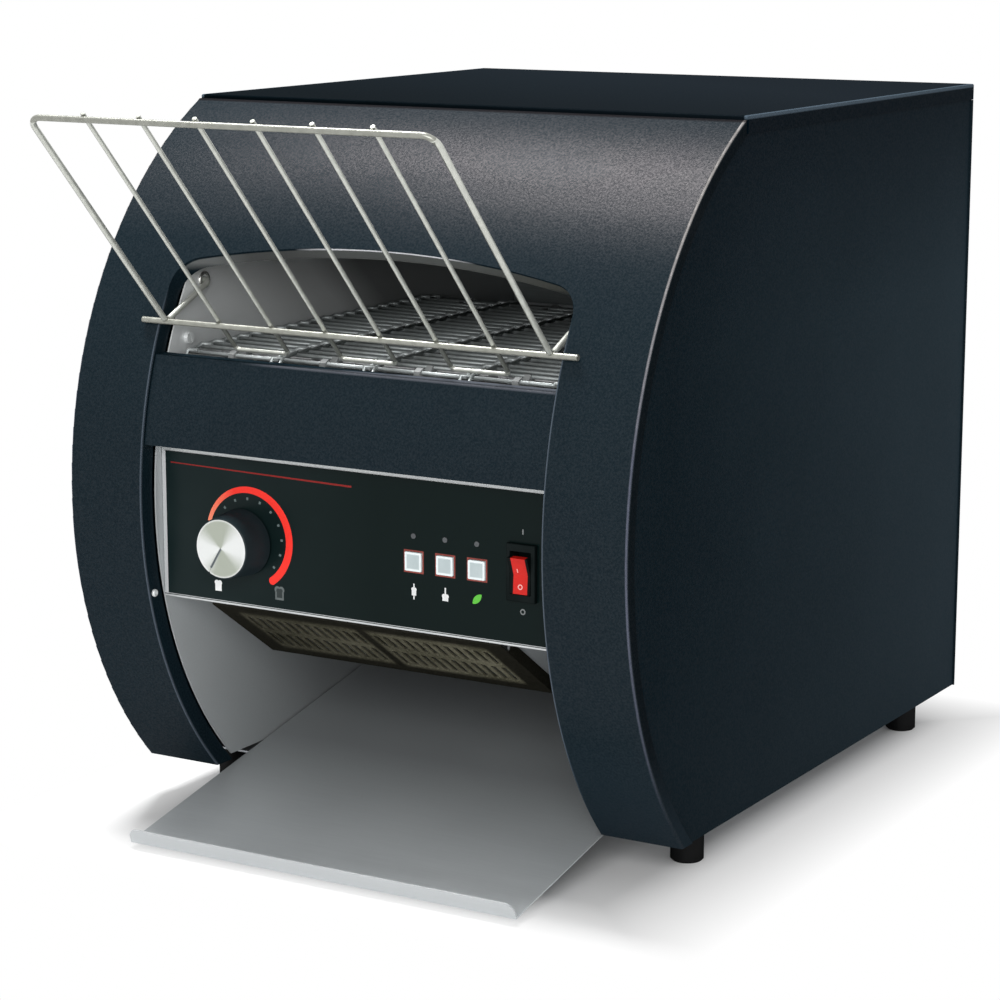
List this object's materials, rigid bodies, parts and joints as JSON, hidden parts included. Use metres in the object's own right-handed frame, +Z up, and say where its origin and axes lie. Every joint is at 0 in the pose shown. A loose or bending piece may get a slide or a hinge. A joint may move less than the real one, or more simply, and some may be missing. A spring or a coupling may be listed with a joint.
{
  "type": "conveyor toaster",
  "caption": "Countertop conveyor toaster with a rolled front cover, tilting wire feed rack, wire mesh belt, knob and button panel, and a pull-out toast tray under a slotted intake.",
  "frame": {"origin": "centre of the bounding box at the underside of the feet", "axes": "+X to the toaster's right as seen from its front, -Y towards the user, +Z up"},
  "size_m": [0.368, 0.574, 0.4323],
  "materials": {
    "painted_steel": "fine dark powder coat",
    "stainless_sheet": "stainless sheet with a soft grain",
    "galvanised_sheet": "dull zinc-plated sheet",
    "black_sheet": "black painted sheet",
    "bright_wire": "polished stainless wire",
    "machined_steel": "plain machined steel",
    "bronze": "sintered bronze",
    "motor_casing": "cast casing and plated can",
    "element_sheath": "heat-tinted sheath",
    "ceramic": "off-white ceramic",
    "black_plastic": "black moulding",
    "panel_film": "black film with plain marks",
    "knob_metal": "turned face",
    "white_plastic": "white moulding",
    "red_plastic": "red moulding",
    "lamp_lens": "unlit lamp lens",
    "circuit_board": "green laminate",
    "plated_steel": "zinc-plated screws",
    "thermostat_casing": "plated cap on a ceramic base",
    "foot_rubber": "black rubber"
  },
  "bodies": {
    "housing": {"foot_front_left": "foot_rubber", "foot_front_right": "foot_rubber", "foot_rear_left": "foot_rubber", "foot_rear_right": "foot_rubber", "base_pan": "galvanised_sheet", "front_wrap": "painted_steel", "top_cover": "painted_steel", "side_panel_left": "painted_steel", "side_panel_right": "painted_steel", "back_panel": "painted_steel", "inner_wall_left": "stainless_sheet", "inner_wall_right": "stainless_sheet", "fascia_bar": "painted_steel", "toast_slide": "stainless_sheet", "rear_reflector": "stainless_sheet", "upper_reflector": "stainless_sheet", "belt_shield": "stainless_sheet", "component_tray": "stainless_sheet", "intake_duct": "stainless_sheet", "intake_grille": "black_sheet", "fan_housing": "black_plastic", "fan_guard": "black_sheet", "control_panel": "stainless_sheet", "panel_overlay": "panel_film", "speed_control": "black_plastic", "control_board": "circuit_board", "button_switches": "black_plastic", "indicator_lamps": "lamp_lens", "power_switch": "black_plastic", "conveyor_belt": "bright_wire", "shaft_bushings": "bronze", "belt_rails": "machined_steel", "drive_chain": "machined_steel", "gear_motor": "motor_casing", "upper_elements": "element_sheath", "lower_elements": "element_sheath", "element_insulators": "ceramic", "relay": "black_plastic", "terminal_block": "white_plastic", "thermostat": "thermostat_casing", "cord_gland": "black_plastic", "wall_fixings": "plated_steel", "housing_screws": "plated_steel"},
    "rack": {"feed_rack": "bright_wire"},
    "tray": {"collector_tray": "stainless_sheet"},
    "knob": {"speed_knob": "black_plastic", "knob_cap": "knob_metal", "speed_spindle": "machined_steel"},
    "left_button": {"button_1": "white_plastic"},
    "middle_button": {"button_2": "white_plastic"},
    "right_button": {"button_3": "white_plastic"},
    "rocker": {"power_rocker": "red_plastic"},
    "drive": {"drive_shaft": "machined_steel", "drive_sprockets": "machined_steel", "chain_sprocket": "machined_steel"},
    "idler": {"idler_shaft": "machined_steel", "idler_sprockets": "machined_steel"},
    "motor_drive": {"motor_shaft": "machined_steel", "motor_sprocket": "machined_steel"},
    "fan": {"fan_rotor": "black_plastic"}
  },
  "joints": [
    {"name": "rack_tilt", "type": "hinge", "parent": "housing", "child": "rack", "pos_m": [0, -0.12595, 0.3235], "axis": [1, 0, 0], "range_deg": [-35, 0]},
    {"name": "tray_pull", "type": "slide", "parent": "housing", "child": "tray", "axis": [0, -1, 0], "range_m": [0, 0.27]},
    {"name": "knob_turn", "type": "hinge", "parent": "housing", "child": "knob", "pos_m": [-0.073, -0.17095, 0.1815], "axis": [0, 1, 0], "range_deg": [0, 285]},
    {"name": "left_button_press", "type": "slide", "parent": "housing", "child": "left_button", "axis": [0, 1, 0], "range_m": [0, 0.001], "stiffness_N_per_m": 300},
    {"name": "middle_button_press", "type": "slide", "parent": "housing", "child": "middle_button", "axis": [0, 1, 0], "range_m": [0, 0.001], "stiffness_N_per_m": 300},
    {"name": "right_button_press", "type": "slide", "parent": "housing", "child": "right_button", "axis": [0, 1, 0], "range_m": [0, 0.001], "stiffness_N_per_m": 300},
    {"name": "rocker_throw", "type": "hinge", "parent": "housing", "child": "rocker", "pos_m": [0.1115, -0.16745, 0.185], "axis": [-1, 0, 0], "range_deg": [0, 16]},
    {"name": "drive_spin", "type": "hinge", "parent": "housing", "child": "drive", "pos_m": [0, 0.11205, 0.26921], "axis": [-1, 0, 0], "continuous": true, "deforming": ["conveyor_belt", "drive_chain"]},
    {"name": "idler_spin", "type": "hinge", "parent": "housing", "child": "idler", "pos_m": [0, -0.14195, 0.26921], "axis": [-1, 0, 0], "continuous": true},
    {"name": "motor_spin", "type": "hinge", "parent": "housing", "child": "motor_drive", "pos_m": [0.144, 0.01425, 0.18859], "axis": [-1, 0, 0], "continuous": true},
    {"name": "fan_spin", "type": "hinge", "parent": "housing", "child": "fan", "pos_m": [0, -0.07945, 0.1355], "axis": [0, 0, 1], "continuous": true}
  ],
  "couplings": [
    {"joint": "idler_spin", "follows": "drive_spin", "ratio": 1},
    {"joint": "motor_spin", "follows": "drive_spin", "ratio": 1.6667}
  ]
}
